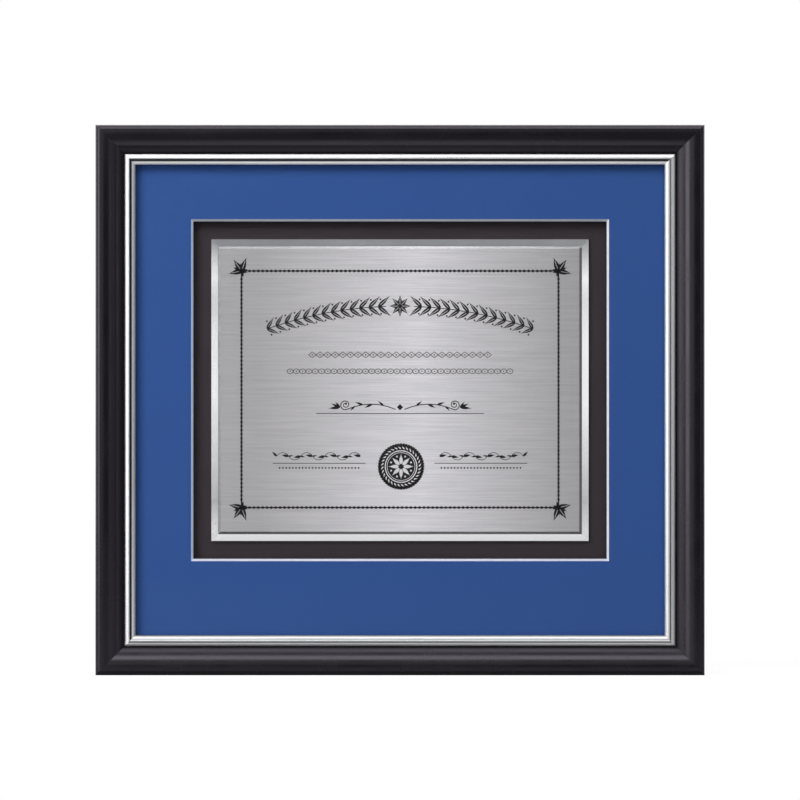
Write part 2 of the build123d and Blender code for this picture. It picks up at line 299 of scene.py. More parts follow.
# Glazing: a clear flat sheet, cut to the rabbet's opening and laid in behind the slips.
# It mirrors a little at its front and lets light through.
glazing_finish, tree, shader = blank_finish("clear_glazing")
tree.nodes.remove(shader)
clear = tree.nodes.new("ShaderNodeBsdfTransparent")
clear.inputs["Color"].default_value = (0.988, 0.988, 0.988, 1.0)
gloss = tree.nodes.new("ShaderNodeBsdfGlossy")
wipe_marks = mottle(tree, (30, 30, 30), 4.0)
tree.links.new(span(tree, wipe_marks, 0.015, 0.05), gloss.inputs["Roughness"])
fresnel = tree.nodes.new("ShaderNodeFresnel")
fresnel.inputs["IOR"].default_value = 1.35
side_seen = tree.nodes.new("ShaderNodeNewGeometry")
front_only = worked(tree, "SUBTRACT", 1.0, side_seen.outputs["Backfacing"])
mirror_share = worked(tree, "MULTIPLY", fresnel.outputs["Fac"], front_only)
pane = tree.nodes.new("ShaderNodeMixShader")
tree.links.new(mirror_share, pane.inputs["Fac"])
tree.links.new(clear.outputs["BSDF"], pane.inputs[1])
tree.links.new(gloss.outputs["BSDF"], pane.inputs[2])
tree.links.new(pane.outputs["Shader"], tree.nodes["Material Output"].inputs["Surface"])
dress("glazing", glazing_finish)


# Window mat: board faced with blue paper, its window cut at a slant so that the white core shows.
# It lies against the glazing, and fine dust greys the cut edge that faces upwards.
def board_finish(name, dark, light, core, fleck):
    """Paper-faced board: two face colours, the colour of its core and rear, and how far fibres show."""
    material, tree, shader = blank_finish(name)
    fibre = mottle(tree, (2600, 2600, 2600), 5.0, 0.65)
    pulp = mottle(tree, (420, 420, 420), 4.0, 0.6)
    cloud = mottle(tree, (14, 14, 14), 2.0)
    face = ramp(tree, fibre, [(0.32, dark), (0.68, light)])
    face = mixed(tree, span(tree, pulp, 0.0, fleck, 0.45, 0.75), face, light)
    face = mixed(tree, span(tree, cloud, 0.0, 0.25), face, dark)
    cut = ramp(tree, pulp, [(0.3, tuple(0.90 * c for c in core)), (0.7, core)])
    dusty = mixed(tree, 1.0, cut, (0.82, 0.81, 0.81), "MULTIPLY")
    cut = mixed(tree, facing(tree, (0, 0, 1), 0.3, 0.6), cut, dusty)
    front = facing(tree, (0, -1, 0), 0.85, 0.95)
    tree.links.new(mixed(tree, front, cut, face), shader.inputs["Base Color"])
    tree.links.new(span(tree, pulp, 0.78, 0.92), shader.inputs["Roughness"])
    shader.inputs["Specular IOR Level"].default_value = 0.25
    bumped(tree, shader, fibre, 0.25, 0.00008)
    return material


mat_dark, mat_light, mat_core = (0.026, 0.083, 0.290), (0.036, 0.104, 0.345), (0.80, 0.845, 0.96)
dress("window_mat", board_finish("blue_mat", mat_dark, mat_light, mat_core, 0.4))

# Spacers: strips of white foam board, laid round the rabbet between the mat and the mount board.
# They hold the mat off the mount board, so that its shadow falls there.
foam_dark, foam_light, foam_core = (0.80, 0.80, 0.78), (0.88, 0.88, 0.86), (0.84, 0.84, 0.83)
foam_finish = board_finish("foam_board", foam_dark, foam_light, foam_core, 0.3)
for side in ("top", "bottom", "left", "right"):
    dress(f"{side}_spacer", foam_finish)

# Mount board: black paper-faced board that carries the plates.
# It is cut to the rabbet's opening, and the backing board presses it against the spacers.
mount_dark, mount_light, mount_core = (0.033, 0.026, 0.030), (0.049, 0.039, 0.045), (0.05, 0.045, 0.048)
dress("mount_board", board_finish("black_board", mount_dark, mount_light, mount_core, 0.4))

# Border plate: polished metal with a wide slanted border, held by strips of pale double-sided tape.
# Its two upright sides carry painted reflection: their colour steps brighter and darker up their height,
# and is darkest at the upper corners.
tape_dark, tape_light, tape_core = (0.70, 0.66, 0.55), (0.80, 0.76, 0.66), (0.78, 0.74, 0.64)
tape_finish = board_finish("plate_tape", tape_dark, tape_light, tape_core, 0.3)
dress("border_plate_tape", tape_finish)
polished_finish, tree, shader = blank_finish("polished_plate")
smear = mottle(tree, (26, 26, 26), 4.0, 0.6)
hairline = mottle(tree, (300, 300, 4200), 3.0)
shine = ramp(tree, smear, [(0.3, (0.90, 0.905, 0.92)), (0.7, (0.95, 0.95, 0.96))])
border_low, border_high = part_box("border_plate")
height = span(tree, coordinate(tree, "Z"), 0.0, 1.0, border_low.z, border_high.z)
# Painted reflection: tones by height for the upright sides, darkest at the top corners.
painted_reflection_steps = [
    (0.03, 0.98),
    (0.13, 0.62),
    (0.30, 0.82),
    (0.45, 1.0),
    (0.65, 1.0),
    (0.80, 0.84),
    (0.87, 1.0),
    (0.99, 0.40),
]
painted_reflection_ramp = ramp(tree, height, [(share, grey(tone)) for share, tone in painted_reflection_steps])
shine_with_painted_reflection = mixed(tree, 1.0, shine, painted_reflection_ramp, "MULTIPLY")
for outward in (1, -1):
    shine = mixed(tree, facing(tree, (outward, 0, 0), 0.10, 0.20), shine, shine_with_painted_reflection)
tree.links.new(shine, shader.inputs["Base Color"])
shader.inputs["Metallic"].default_value = 1.0
tree.links.new(span(tree, smear, 0.07, 0.13), shader.inputs["Roughness"])
bumped(tree, shader, hairline, 0.03, 0.00002)
dress("border_plate", polished_finish)

# Engraved plate: metal brushed along its width, with a narrow slanted edge, taped on the border plate.
# Its lower slanted edge is painted darker than the others, as painted shade.
dress("engraved_plate_tape", tape_finish)
brushed_finish, tree, shader = blank_finish("brushed_plate")
long_line = mottle(tree, (20, 400, 820), 5.0, 0.7)
short_line = mottle(tree, (60, 400, 5200), 3.0, 0.55)
cloud = mottle(tree, (9, 9, 22), 2.0)
tone = ramp(tree, long_line, [(0.34, (0.77, 0.755, 0.785)), (0.64, (0.99, 0.972, 1.0))])
tone = mixed(tree, span(tree, short_line, 0.0, 0.35), tone, (0.99, 0.972, 1.0))
tone = mixed(tree, span(tree, cloud, 0.0, 0.15), tone, (0.88, 0.864, 0.89))
# Painted highlight: the plate is brightest in a band near the middle and darker towards its sides.
painted_highlight_right = 0.010
from_painted_highlight = off_middle(tree, "X", painted_highlight_right)
painted_side_shade = mixed(tree, 1.0, tone, grey(0.63), "MULTIPLY")
tone = mixed(tree, span(tree, from_painted_highlight, 0.0, 1.0, 0.005, 0.105), tone, painted_side_shade)
# Painted shade: the edge that faces down is darkened.
lower_edge_painted_shade = mixed(tree, 1.0, tone, grey(0.42), "MULTIPLY")
tone = mixed(tree, facing(tree, (0, 0, -1), 0.15, 0.30), tone, lower_edge_painted_shade)
tree.links.new(tone, shader.inputs["Base Color"])
shader.inputs["Metallic"].default_value = 1.0
shader.inputs["Anisotropic"].default_value = 0.75
upright = tree.nodes.new("ShaderNodeCombineXYZ")
upright.inputs["Z"].default_value = 1.0
tree.links.new(upright.outputs["Vector"], shader.inputs["Tangent"])
brushed = span(tree, long_line, 0.56, 0.68)
flat_part = facing(tree, (0, -1, 0), 0.90, 0.97)
tree.links.new(mixed(tree, flat_part, grey(0.22), brushed), shader.inputs["Roughness"])
bumped(tree, shader, short_line, 0.10, 0.00003)
dress("engraved_plate", brushed_finish)

# Engraved border: cut into the plate and filled with black enamel, almost flush with its face.
# It is traditional: a beaded line with a sprig of pointed leaves at each corner. The fill stands proud by
# less than a hair, and a bright vein of bare plate is left in each broad leaf.
plate_low, plate_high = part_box("engraved_plate")
plate_middle = (plate_low + plate_high) / 2
fill_depth = 0.00014
fill_proud = 0.00004
mm = 0.001

enamel_finish, tree, shader = blank_finish("engraving_fill")
pits = mottle(tree, (1800, 1800, 1800), 4.0, 0.6)
enamel = ramp(tree, pits, [(0.3, (0.006, 0.006, 0.007)), (0.7, (0.016, 0.016, 0.017))])
tree.links.new(enamel, shader.inputs["Base Color"])
tree.links.new(span(tree, pits, 0.42, 0.62), shader.inputs["Roughness"])
shader.inputs["Specular IOR Level"].default_value = 0.3
bumped(tree, shader, pits, 0.15, 0.00003)


def flat_disc(radius, corners):
    """A disc around the origin, facing up, with this many corners."""
    bpy.ops.object.select_all(action="DESELECT")
    bpy.ops.mesh.primitive_circle_add(vertices=corners, radius=radius, fill_type="NGON")
    return bpy.context.object


def pick_right_of(shape, x):
    """Goes to edit mode with only the corners picked that lie right of x."""
    bpy.ops.object.mode_set(mode="EDIT")
    bpy.ops.mesh.select_all(action="DESELECT")
    bpy.ops.object.mode_set(mode="OBJECT")
    for corner in shape.data.vertices:
        corner.select = corner.co.x > x
    bpy.ops.object.mode_set(mode="EDIT")


def flat_leaf(length, width):
    """A leaf along x with its foot at the origin, fullest near the foot and drawn out to a tip."""
    leaf = flat_disc(0.5, 16)
    bpy.ops.object.mode_set(mode="EDIT")
    bpy.ops.transform.translate(value=(0.5, 0, 0))
    bpy.ops.transform.resize(value=(length * 0.84, width, 1), center_override=(0, 0, 0))
    for share, narrowing in ((0.40, 0.90), (0.55, 0.86), (0.68, 0.78)):
        pick_right_of(leaf, length * share)
        bpy.ops.transform.resize(value=(1, narrowing, 1), center_override=(0, 0, 0))
    pick_right_of(leaf, length * 0.83)
    bpy.ops.transform.translate(value=(length * 0.16, 0, 0))
    bpy.ops.object.mode_set(mode="OBJECT")
    return leaf


def flat_bar(length, width):
    """A straight line centred on the origin, along x, with rounded ends."""
    bpy.ops.object.select_all(action="DESELECT")
    bpy.ops.mesh.primitive_plane_add(size=1)
    bpy.ops.object.mode_set(mode="EDIT")
    bpy.ops.transform.resize(value=(length, width, 1))
    bpy.ops.mesh.bevel(offset=width * 0.4, segments=2, affect="VERTICES")
    bpy.ops.object.mode_set(mode="OBJECT")
    return bpy.context.object


def flat_arc(radius, sweep, width):
    """A curved line around the origin that starts on the x axis and turns by sweep degrees."""
    bpy.ops.object.select_all(action="DESELECT")
    bpy.ops.mesh.primitive_plane_add(size=width, location=(radius, width / 2, 0))
    arc = bpy.context.object
    bpy.ops.object.transform_apply(location=True)
    bpy.ops.object.mode_set(mode="EDIT")
    bpy.ops.mesh.select_all(action="DESELECT")
    bpy.ops.object.mode_set(mode="OBJECT")
    for corner in arc.data.vertices:
        corner.select = corner.co.y > width / 2
    bpy.ops.object.mode_set(mode="EDIT")
    bpy.ops.mesh.delete(type="VERT")
    bpy.ops.mesh.select_all(action="SELECT")
    steps = max(6, round(sweep / 8))
    bpy.ops.mesh.spin(steps=steps, angle=-math.radians(sweep), center=(0, 0, 0), axis=(0, 0, 1))
    bpy.ops.mesh.select_all(action="SELECT")
    bpy.ops.mesh.remove_doubles(threshold=0.000001)
    bpy.ops.object.mode_set(mode="OBJECT")
    return arc


def laid(shape, places, layer=1):
    """Copies of a flat shape on the plate, which replace it.

    Each place is (right, up, turn, size) from the plate's middle, in mm and degrees.
    """
    copies = []
    front = plate_low.y - layer * fill_proud
    for right, up, turn, size in places:
        copy = shape.copy()
        copy.data = shape.data.copy()
        bpy.context.collection.objects.link(copy)
        spot = Matrix.Translation((plate_middle.x + right * mm, front, plate_middle.z + up * mm))
        stand = Matrix.Rotation(math.radians(90), 4, "X") @ Matrix.Rotation(math.radians(turn), 4, "Z")
        copy.matrix_world = spot @ stand @ Matrix.Scale(size, 4)
        copies.append(copy)
    bpy.data.objects.remove(shape)
    return copies


def inlay(name, shapes, material=enamel_finish):
    """Joins flat shapes to one piece, gives it depth into the plate and fixes it there."""
    bpy.ops.object.select_all(action="DESELECT")
    for shape in shapes:
        shape.select_set(True)
    bpy.context.view_layer.objects.active = shapes[0]
    bpy.ops.object.join()
    piece = bpy.context.object
    piece.name = name
    bpy.ops.object.transform_apply(location=True, rotation=True, scale=True)
    for face in piece.data.polygons:
        if face.normal.y > 0:
            face.flip()
    depth = piece.modifiers.new("depth", "SOLIDIFY")
    depth.thickness = fill_depth
    depth.offset = -1.0
    bpy.ops.object.modifier_apply(modifier="depth")
    piece.data.materials.clear()
    piece.data.materials.append(material)
    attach(piece, "frame")


line_right, line_up, line_middle = 105.98, 79.1, 0.58
thread_across, thread_upright = 0.8, 0.95
bead_across, bead_upright = 1.0, 0.95
bead_margin = 5.4
beads_across, beads_upright = 69, 54
step_across = 2 * (line_right - bead_margin) / beads_across
step_upright = 2 * (line_up - bead_margin) / beads_upright
dot_corners = 8
border = []
for side in (1, -1):
    row = line_middle + side * line_up
    column = side * line_right
    first_right = bead_margin - line_right
    first_up = line_middle + bead_margin - line_up
    across = [(first_right + k * step_across, row, 0, 1) for k in range(beads_across + 1)]
    upright = [(column, first_up + k * step_upright, 0, 1) for k in range(beads_upright + 1)]
    border += laid(flat_disc(bead_across * mm, dot_corners), across)
    border += laid(flat_disc(bead_upright * mm, dot_corners), upright)
    border += laid(flat_bar(2 * line_right * mm, thread_across * mm), [(0, row, 0, 1)])
    border += laid(flat_bar(2 * line_up * mm, thread_upright * mm), [(column, line_middle, 90, 1)])
inlay("engraved_border", border)


def veins(leaves, length, width):
    """Bright lines down the middle of leaves of this length."""
    middle_share, length_share = 0.46, 0.56
    spots = []
    for right, up, turn, size in leaves:
        a = math.radians(turn)
        reach = middle_share * length * size
        spots.append((right + reach * math.cos(a), up + reach * math.sin(a), turn, size))
    return laid(flat_bar(length_share * length * mm, width * mm), spots, layer=2)


broad_length, broad_width, broad_vein = 9.6, 3.9, 0.4
small_length, small_width = 4.9, 2.3
heart_radius = 1.2
broad_leaves = [(70, 1.0), (125, 0.98), (192, 0.92)]
small_leaves = [(97, 1.1), (157, 1.25), (212, 1.0), (12, 0.95), (-16, 0.9), (-74, 0.95)]
broad, small, hearts = [], [], []
for side in (1, -1):
    for rise in (1, -1):
        corner = (side * line_right, line_middle + rise * line_up)
        hearts.append((*corner, 0, 1))
        for leaves, group in ((broad_leaves, broad), (small_leaves, small)):
            for turn, size in leaves:
                a = math.radians(turn)
                mirrored_turn = math.degrees(math.atan2(rise * math.sin(a), -side * math.cos(a)))
                group.append((*corner, mirrored_turn, size))
sprigs = laid(flat_leaf(broad_length * mm, broad_width * mm), broad)
sprigs += laid(flat_leaf(small_length * mm, small_width * mm), small)
sprigs += laid(flat_disc(heart_radius * mm, dot_corners), hearts)
inlay("engraved_corner_sprigs", sprigs)
bright_veins = veins(broad, broad_length, broad_vein)

# Garland: an arch over the upper half of the plate, two leafy stems with berries that meet at a rosette.
# It is cut and filled as the border is. Its veins and the sprigs' are one piece of bare brushed metal.
arch_radius, arch_top, arch_half = 268.0, 56.2, 19.4
arch_foot = arch_top - arch_radius
stem_gap, garland_stem = 2.0, 0.55
pairs, last_pair, pair_lean = 13, 3.1, 40
garland_length, garland_width, garland_vein = 10.8, 3.0, 0.32
first_size, size_gain = 0.84, 0.013
berry_radius, berry_lift, berry_lag = 0.65, 4.8, 0.35
petal_count, petal_length, petal_width = 8, 7.4, 3.0
garland_leaves, berries = [], []
for side in (1, -1):
    for k in range(pairs):
        angle = arch_half - k * (arch_half - last_pair) / (pairs - 1)
        a = math.radians(angle)
        heading = 180 - angle if side > 0 else angle
        leaf_foot = (side * arch_radius * math.sin(a), arch_foot + arch_radius * math.cos(a))
        for lean in (pair_lean, -pair_lean):
            garland_leaves.append((*leaf_foot, heading + lean, first_size + size_gain * k))
        a = math.radians(angle - berry_lag)
        for lift in (berry_lift, -berry_lift):
            reach = arch_radius + lift
            berries.append((side * reach * math.sin(a), arch_foot + reach * math.cos(a), 0, 1))
stems = [(0, arch_foot, 90 - arch_half, 1), (0, arch_foot, 90 + stem_gap, 1)]
petals = [(0, arch_top, 360 / petal_count * k, 1) for k in range(petal_count)]
garland = laid(flat_leaf(garland_length * mm, garland_width * mm), garland_leaves)
garland += laid(flat_disc(berry_radius * mm, dot_corners), berries)
garland += laid(flat_arc(arch_radius * mm, arch_half - stem_gap, garland_stem * mm), stems)
garland += laid(flat_leaf(petal_length * mm, petal_width * mm), petals)
inlay("engraved_garland", garland)
bright_veins += veins(garland_leaves, garland_length, garland_vein)
bright_veins += veins(petals, petal_length, garland_vein)
inlay("engraved_leaf_veins", bright_veins, brushed_finish)

# Fine rules: a chain of open lozenges below the garland, then two waves that cross, a dot in each opening.
# Their hairlines are the thinnest cuts on the plate, filled with the same enamel.
hairline_width = 0.42
lozenge_width, lozenge_rise, lozenge_row = 5.1, 2.0, 23.6
lozenge_count, lozenge_dot = 24, 0.5
slant = math.degrees(math.atan2(2 * lozenge_rise, lozenge_width))
edge = math.hypot(lozenge_width / 2, lozenge_rise)
edges, dots = [], []
for k in range(lozenge_count):
    right = lozenge_width * (k - (lozenge_count - 1) / 2)
    dots.append((right, lozenge_row, 0, 1))
    for side in (1, -1):
        for rise in (1, -1):
            spot = (right + side * lozenge_width / 4, lozenge_row + rise * lozenge_rise / 2)
            edges.append((*spot, -side * rise * slant, 1))
lozenges = laid(flat_bar(edge * mm, hairline_width * mm), edges)
lozenges += laid(flat_disc(lozenge_dot * mm, dot_corners), dots)
inlay("engraved_lozenge_rule", lozenges)

wave_step, wave_half, wave_row = 4.2, 74.0, 12.6
wave_count, wave_dot = 36, 0.42
wave_radius = wave_step / 2 / math.sin(math.radians(wave_half))
wave_sink = wave_radius * math.cos(math.radians(wave_half))
humps, dots = [], []
for k in range(wave_count):
    right = wave_step * (k - (wave_count - 1) / 2)
    dots.append((right, wave_row, 0, 1))
    humps.append((right, wave_row - wave_sink, 90 - wave_half, 1))
    humps.append((right, wave_row + wave_sink, 270 - wave_half, 1))
waves = laid(flat_arc(wave_radius * mm, 2 * wave_half, hairline_width * mm), humps)
waves += laid(flat_disc(wave_dot * mm, dot_corners), dots)
inlay("engraved_wave_rule", waves)

# Scrolls: a plain rule under a pair of leafy stems, which curl away from a lozenge in the middle.
# Each stem winds up in three tightening arcs and ends in a bud. They are cut and filled as the rest is.
rule_width = 0.45
scroll_rule_length, scroll_rule_row = 112.4, -15.6
centre_radius, centre_row = 2.1, -11.4
stem_radius, stem_half, stem_top, stem_width = 40.0, 24.0, -9.4, 0.6
stem_start = 3.0
tuft_right, tuft_up = 4.6, 1.4
scroll_leaf_length, scroll_leaf_width = 6.4, 1.7
bud_radius = 0.75
scroll = laid(flat_bar(scroll_rule_length * mm, rule_width * mm), [(0, scroll_rule_row, 0, 1)])
scroll += laid(flat_disc(centre_radius * mm, 4), [(0, centre_row, 0, 1)])
stem_right = stem_radius * math.sin(math.radians(stem_half)) + stem_start
stem_foot = stem_top - stem_radius
scroll_leaves = []
for side in (1, -1):
    stem = flat_arc(stem_radius * mm, 2 * stem_half, stem_width * mm)
    scroll += laid(stem, [(side * stem_right, stem_foot, 90 - stem_half, 1)])
    for angle, lean, size in ((12, 26, 0.8), (1, -26, 0.95), (-8, 26, 0.9), (-16, -26, 0.7)):
        a = math.radians(angle)
        foot = (side * (stem_right - stem_radius * math.sin(a)), stem_foot + stem_radius * math.cos(a))
        heading = angle + lean
        scroll_leaves.append((*foot, heading if side > 0 else 180 - heading, size))
    turn = 270 - stem_half
    right = stem_right + stem_radius * math.sin(math.radians(stem_half))
    up = stem_foot + stem_radius * math.cos(math.radians(stem_half))
    tuft = (side * (right + tuft_right), up + tuft_up)
    for heading, size in ((-6, 1.25), (22, 1.05), (50, 0.8)):
        scroll_leaves.append((*tuft, heading if side > 0 else 180 - heading, size))
    for radius, sweep, width in ((2.9, 235, 0.6), (2.0, 180, 0.55), (1.2, 180, 0.5)):
        a = math.radians(turn)
        right, up = right - radius * math.cos(a), up - radius * math.sin(a)
        first = turn if side > 0 else 180 - turn - sweep
        scroll += laid(flat_arc(radius * mm, sweep, width * mm), [(side * right, up, first, 1)])
        turn += sweep
        a = math.radians(turn)
        right, up = right + radius * math.cos(a), up + radius * math.sin(a)
    scroll += laid(flat_disc(bud_radius * mm, dot_corners), [(side * right, up, 0, 1)])
scroll += laid(flat_leaf(scroll_leaf_length * mm, scroll_leaf_width * mm), scroll_leaves)
inlay("engraved_scrolls", scroll)

# Vine rules: two plain rules beside the seal, each under a running vine and over a row of dots.
# A vine is a row of half waves with a leaf either way at each crossing, cut and filled as the rest is.
vine_rule_length, vine_rule_middle, vine_rule_row = 62.2, 54.1, -48.9
dot_step, dot_row, dot_count, dot_radius = 2.2, -52.0, 25, 0.62
vine_step, vine_half, vine_row, vine_start = 8.0, 62.0, -44.2, 26.4
vine_turns, vine_width = 7, 0.4
leaf_lean, tip_lean = 10, 45
vine_leaf_length, vine_leaf_width, back_leaf, tip_leaf = 5.2, 1.9, 0.6, 0.9
rule_places = [(side * vine_rule_middle, vine_rule_row, 0, 1) for side in (1, -1)]
lines = laid(flat_bar(vine_rule_length * mm, rule_width * mm), rule_places)
vine_radius = vine_step / 2 / math.sin(math.radians(vine_half))
vine_sink = vine_radius * math.cos(math.radians(vine_half))
stalks, vine_leaves, dots = [], [], []
for side in (1, -1):
    for k in range(vine_turns):
        rise = 1 if k % 2 == 0 else -1
        right = vine_start + vine_step * k
        stalk_right = side * (right + vine_step / 2)
        stalks.append((stalk_right, vine_row - rise * vine_sink, rise * 90 - vine_half, 1))
        heading = rise * leaf_lean
        vine_leaves.append((side * right, vine_row, heading if side > 0 else 180 - heading, 1))
        if k > 0:
            back = 180 - heading if side > 0 else heading
            vine_leaves.append((side * right, vine_row, back, back_leaf))
    tip = vine_start + vine_step * vine_turns
    vine_leaves.append((side * tip, vine_row, tip_lean if side > 0 else 180 - tip_lean, tip_leaf))
    for k in range(dot_count):
        dots.append((side * (vine_rule_middle + dot_step * (k - dot_count // 2)), dot_row, 0, 1))
lines += laid(flat_arc(vine_radius * mm, 2 * vine_half, vine_width * mm), stalks)
lines += laid(flat_leaf(vine_leaf_length * mm, vine_leaf_width * mm), vine_leaves)
lines += laid(flat_disc(dot_radius * mm, dot_corners), dots)
inlay("engraved_vine_rules", lines)

# Seal: a dark scalloped band with a wreath of bright leaves, round a disc with a bright rosette.
# The dark parts are cut and filled. The bright ones are bare brushed metal, a hair prouder than the fill.
seal_right, seal_up = 0.7, -51.1
scallops, scallop_ring, scallop_radius = 52, 14.7, 0.95
band_radius, band_width = 12.9, 4.0
disc_radius, disc_corners = 10.2, 48
wreath_leaves, wreath_ring, wreath_lean = 32, 11.9, 55
wreath_length, wreath_width = 2.7, 0.9
rosette_petals, rosette_foot, rosette_length, rosette_width = 8, 1.6, 6.8, 2.6
pearl_ring, pearl_radius = 7.2, 0.65
ring_radius, ring_width = 9.3, 0.35


def around(count, radius, turn=0.0, start=0.0):
    """Places on a circle about the seal's middle, each turned away from its spoke."""
    spots = []
    for k in range(count):
        spoke = start + 360 * k / count
        a = math.radians(spoke)
        spots.append((seal_right + radius * math.cos(a), seal_up + radius * math.sin(a), spoke + turn, 1))
    return spots


seal_middle = [(seal_right, seal_up, 0, 1)]
seal = laid(flat_disc(scallop_radius * mm, dot_corners), around(scallops, scallop_ring))
seal += laid(flat_arc(band_radius * mm, 360, band_width * mm), seal_middle)
seal += laid(flat_disc(disc_radius * mm, disc_corners), seal_middle)
inlay("engraved_seal", seal)
wreath_leaf = flat_leaf(wreath_length * mm, wreath_width * mm)
rosette = laid(wreath_leaf, around(wreath_leaves, wreath_ring, wreath_lean), layer=2)
rosette_petal = flat_leaf(rosette_length * mm, rosette_width * mm)
rosette += laid(rosette_petal, around(rosette_petals, rosette_foot), layer=2)
pearl = flat_disc(pearl_radius * mm, dot_corners)
half_step = 180 / rosette_petals
rosette += laid(pearl, around(rosette_petals, pearl_ring, 0, half_step), layer=2)
rosette += laid(flat_arc(ring_radius * mm, 360, ring_width * mm), seal_middle, layer=2)
inlay("engraved_seal_rosette", rosette, brushed_finish)

# Backing board: a sheet of brown hardboard that closes the rear.
# It is pressed from wood fibre, and its rear face keeps the print of the wire mesh it was pressed on.
hardboard_finish, tree, shader = blank_finish("hardboard")
chips = mottle(tree, (700, 700, 700), 6.0, 0.7, 0.4)
stain = mottle(tree, (22, 22, 22), 4.0, 0.6)
brown_tones = [(0.3, (0.115, 0.058, 0.025)), (0.5, (0.20, 0.112, 0.052)), (0.7, (0.30, 0.185, 0.098))]
brown = ramp(tree, chips, brown_tones)
brown = mixed(tree, span(tree, stain, 0.0, 0.55), brown, (0.145, 0.078, 0.036))
tree.links.new(brown, shader.inputs["Base Color"])
wire_scale = 150.0
wires = []
for direction in ("X", "Z"):
    wire = tree.nodes.new("ShaderNodeTexWave")
    wire.bands_direction = direction
    wire.inputs["Scale"].default_value = wire_scale
    wire.inputs["Distortion"].default_value = 0.4
    tree.links.new(placed(tree, (1, 1, 1)), wire.inputs["Vector"])
    wires.append(wire.outputs["Fac"])
mesh_print = worked(tree, "MULTIPLY", *wires)
tree.links.new(span(tree, chips, 0.62, 0.80), shader.inputs["Roughness"])
bumped(tree, shader, mesh_print, 0.35, 0.00025)
dress("backing_board", hardboard_finish)

# Turn buttons: fingers stamped from zinc-plated steel, each on a pan-head screw of yellower zinc.
# They turn on their screws to hold the backing board in the rabbet or to free it.
button_finish = steel_finish("button_zinc", (0.52, 0.52, 0.50), (0.70, 0.70, 0.68), 0.24, 0.40)
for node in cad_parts:
    if node.endswith("turn_button"):
        dress(node, button_finish)
screw_finish = steel_finish("screw_zinc", (0.58, 0.52, 0.36), (0.74, 0.68, 0.50), 0.22, 0.36)
dress("turn_button_screws", screw_finish)
dress("hanger_screws", screw_finish)

# Hangers: folded straps of plated steel and nickel rings, one on each upright rail.
# A strap is folded round the ring's straight bar and screwed to the rail, so that the ring swings.
strap_finish = steel_finish("hanger_zinc", (0.54, 0.54, 0.52), (0.72, 0.72, 0.70), 0.24, 0.38)
ring_finish = steel_finish("ring_nickel", (0.66, 0.65, 0.62), (0.80, 0.79, 0.76), 0.10, 0.20, 500)
for side in ("left", "right"):
    dress(f"{side}_hanger_strap", strap_finish)
    dress(f"{side}_d_ring", ring_finish)

# Wall bumpers: moulded black rubber pads with a faint grey bloom.
# They are stuck on the rear at the lower corners and keep the frame off the wall.
rubber_finish, tree, shader = blank_finish("bumper_rubber")
bloom = mottle(tree, (500, 500, 500), 5.0, 0.65)
rubber = ramp(tree, bloom, [(0.3, (0.018, 0.018, 0.018)), (0.7, (0.040, 0.039, 0.038))])
tree.links.new(rubber, shader.inputs["Base Color"])
tree.links.new(span(tree, bloom, 0.55, 0.8), shader.inputs["Roughness"])
bumped(tree, shader, bloom, 0.2, 0.00008)
dress("wall_bumpers", rubber_finish)

# Stage: a pale floor, a white backdrop, soft lamps and a camera square to the front.
# The floor keeps the object's shadow and fades to white around it. Its colour is paler near the object, a
# painted pool of light. For reflected rays it glows in two bands in front of it, as painted reflection.
floor_size = 12.0
shadow_near, shadow_far = 0.24, 0.50
white_near, white_far = 0.22, 0.48
floor_glow = 0.80
reflection_glow_depth = 0.25
reflection_glow_bands = [(0.10, 0.0), (0.135, 0.37), (0.165, 0.37), (0.23, 0.05), (0.43, 0.05), (0.67, 0.76)]
bpy.ops.object.select_all(action="DESELECT")
bpy.ops.mesh.primitive_plane_add(size=floor_size, location=(0, 0, 0))
floor = bpy.context.object
floor.name = "floor"
floor_finish, tree, shader = blank_finish("pale_floor")
shader.inputs["Roughness"].default_value = 0.9
shader.inputs["Specular IOR Level"].default_value = 0.0
ray = tree.nodes.new("ShaderNodeLightPath")
length = tree.nodes.new("ShaderNodeVectorMath")
length.operation = "LENGTH"
tree.links.new(placed(tree, (1, 1, 1)), length.inputs[0])
away = length.outputs["Value"]
# Painted pool of light: the floor is paler near the object.
painted_light_pool = ramp(tree, away, [(shadow_near, grey(0.25)), (shadow_far, grey(0.16))])
tree.links.new(painted_light_pool, shader.inputs["Base Color"])
ahead = span(tree, coordinate(tree, "Y"), 0.0, 1.0, 0.0, -reflection_glow_depth)
reflection_glow_tones = ramp(tree, ahead, [(place, grey(tone)) for place, tone in reflection_glow_bands])
# Painted reflection: a glow that only reflected rays see, near the object, in bands ahead of it.
near_reflection_glow = worked(tree, "MULTIPLY", reflection_glow_tones, span(tree, away, 1.0, 0.0, shadow_near, shadow_far))
shine = worked(tree, "MULTIPLY", ray.outputs["Is Glossy Ray"], near_reflection_glow)
lift = tree.nodes.new("ShaderNodeEmission")
seen = worked(tree, "MULTIPLY_ADD", ray.outputs["Is Camera Ray"], floor_glow, shine)
tree.links.new(seen, lift.inputs["Strength"])
near = tree.nodes.new("ShaderNodeAddShader")
tree.links.new(shader.outputs["BSDF"], near.inputs[0])
tree.links.new(lift.outputs["Emission"], near.inputs[1])
fade = span(tree, away, 0.0, 1.0, white_near, white_far)
far = tree.nodes.new("ShaderNodeEmission")
both = tree.nodes.new("ShaderNodeMixShader")
tree.links.new(worked(tree, "MULTIPLY", fade, ray.outputs["Is Camera Ray"]), both.inputs["Fac"])
tree.links.new(near.outputs["Shader"], both.inputs[1])
tree.links.new(far.outputs["Emission"], both.inputs[2])
tree.links.new(both.outputs["Shader"], tree.nodes["Material Output"].inputs["Surface"])
floor.data.materials.append(floor_finish)

